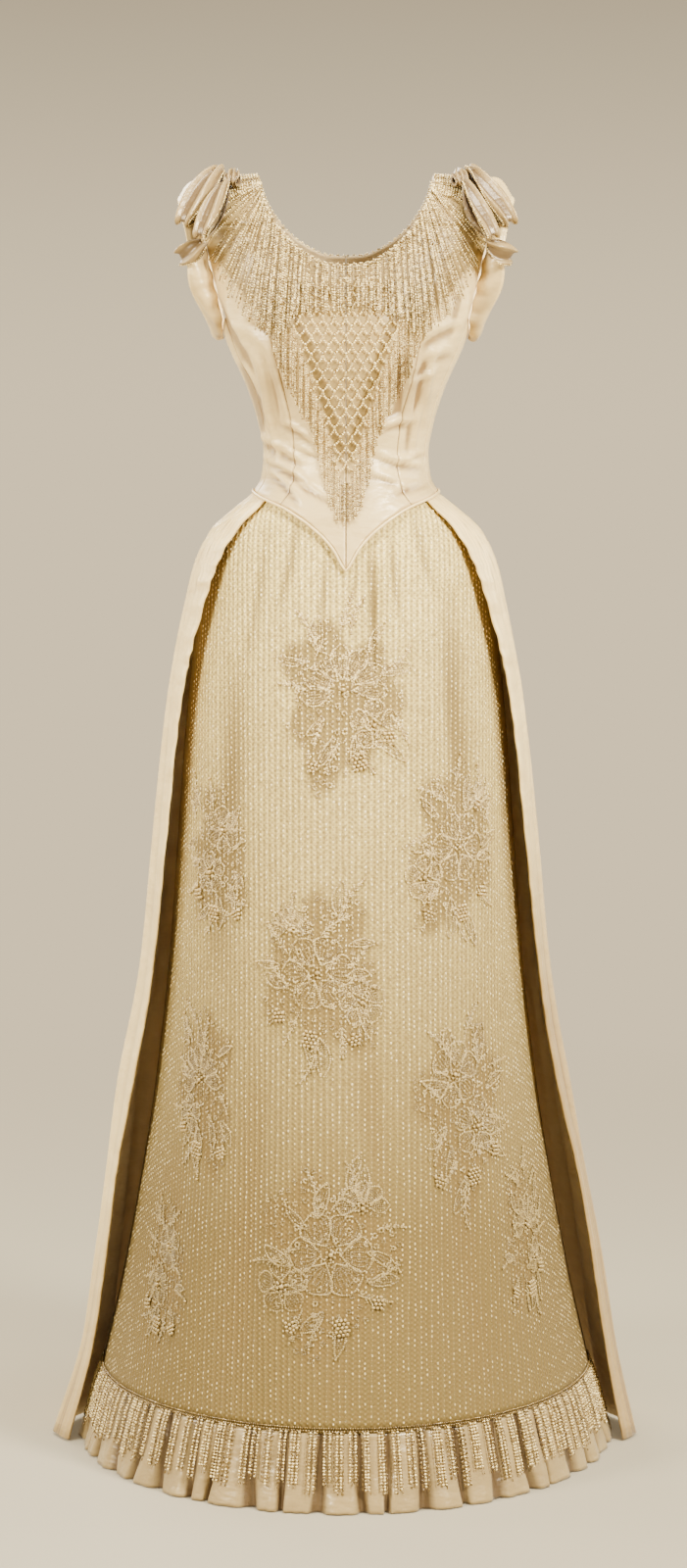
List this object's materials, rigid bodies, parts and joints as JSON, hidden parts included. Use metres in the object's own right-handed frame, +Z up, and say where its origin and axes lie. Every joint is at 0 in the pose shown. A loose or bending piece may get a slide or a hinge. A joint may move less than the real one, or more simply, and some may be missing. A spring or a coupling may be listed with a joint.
{
  "type": "evening dress",
  "caption": "Fitted pointed satin bodice with cap sleeves, ribbon bows and bead fringe, over a long beaded net skirt with an open satin overskirt, pleated hem frill and short train.",
  "frame": {"origin": "on the shoulder line, midway between the wearer's shoulders, where the dress is held", "axes": "+Z up, the front of the dress towards -Y, the wearer's left towards +X"},
  "size_m": [0.6184, 0.9104, 1.3953],
  "materials": {
    "basque_piping": "satin cord",
    "bodice_back_l": "silk satin",
    "bodice_back_r": "silk satin",
    "bodice_front_l": "silk satin",
    "bodice_front_r": "silk satin",
    "bodice_side_back_l": "silk satin",
    "bodice_side_back_r": "silk satin",
    "bodice_side_front_l": "silk satin",
    "bodice_side_front_r": "silk satin",
    "bodice_underarm_l": "silk satin",
    "bodice_underarm_r": "silk satin",
    "bow_inner_loop_l": "satin ribbon",
    "bow_inner_loop_r": "satin ribbon",
    "bow_knot_l": "satin ribbon",
    "bow_knot_r": "satin ribbon",
    "bow_lower_loop_l": "satin ribbon",
    "bow_lower_loop_r": "satin ribbon",
    "bow_outer_loop_l": "satin ribbon",
    "bow_outer_loop_r": "satin ribbon",
    "hem_fringe": "small beads on thread",
    "hem_ruffle": "silk satin",
    "overskirt_l": "silk satin",
    "overskirt_r": "silk satin",
    "shoulder_l": "silk satin",
    "shoulder_r": "silk satin",
    "skirt_front": "beaded net over satin",
    "sleeve_l": "silk satin",
    "sleeve_r": "silk satin",
    "stomacher_fringe_l": "small beads on thread",
    "stomacher_fringe_r": "small beads on thread",
    "stomacher_net": "looped bead netting",
    "train": "silk satin",
    "yoke_fringe_back": "small beads on thread",
    "yoke_fringe_front": "small beads on thread"
  },
  "bodies": {
    "root": {"basque_piping": "basque_piping", "bodice_back_l": "bodice_back_l", "bodice_back_r": "bodice_back_r", "bodice_front_l": "bodice_front_l", "bodice_front_r": "bodice_front_r", "bodice_side_back_l": "bodice_side_back_l", "bodice_side_back_r": "bodice_side_back_r", "bodice_side_front_l": "bodice_side_front_l", "bodice_side_front_r": "bodice_side_front_r", "bodice_underarm_l": "bodice_underarm_l", "bodice_underarm_r": "bodice_underarm_r", "bow_inner_loop_l": "bow_inner_loop_l", "bow_inner_loop_r": "bow_inner_loop_r", "bow_knot_l": "bow_knot_l", "bow_knot_r": "bow_knot_r", "bow_lower_loop_l": "bow_lower_loop_l", "bow_lower_loop_r": "bow_lower_loop_r", "bow_outer_loop_l": "bow_outer_loop_l", "bow_outer_loop_r": "bow_outer_loop_r", "hem_fringe": "hem_fringe", "hem_ruffle": "hem_ruffle", "overskirt_l": "overskirt_l", "overskirt_r": "overskirt_r", "shoulder_l": "shoulder_l", "shoulder_r": "shoulder_r", "skirt_front": "skirt_front", "sleeve_l": "sleeve_l", "sleeve_r": "sleeve_r", "stomacher_fringe_l": "stomacher_fringe_l", "stomacher_fringe_r": "stomacher_fringe_r", "stomacher_net": "stomacher_net", "train": "train", "yoke_fringe_back": "yoke_fringe_back", "yoke_fringe_front": "yoke_fringe_front"}
  },
  "joints": []
}
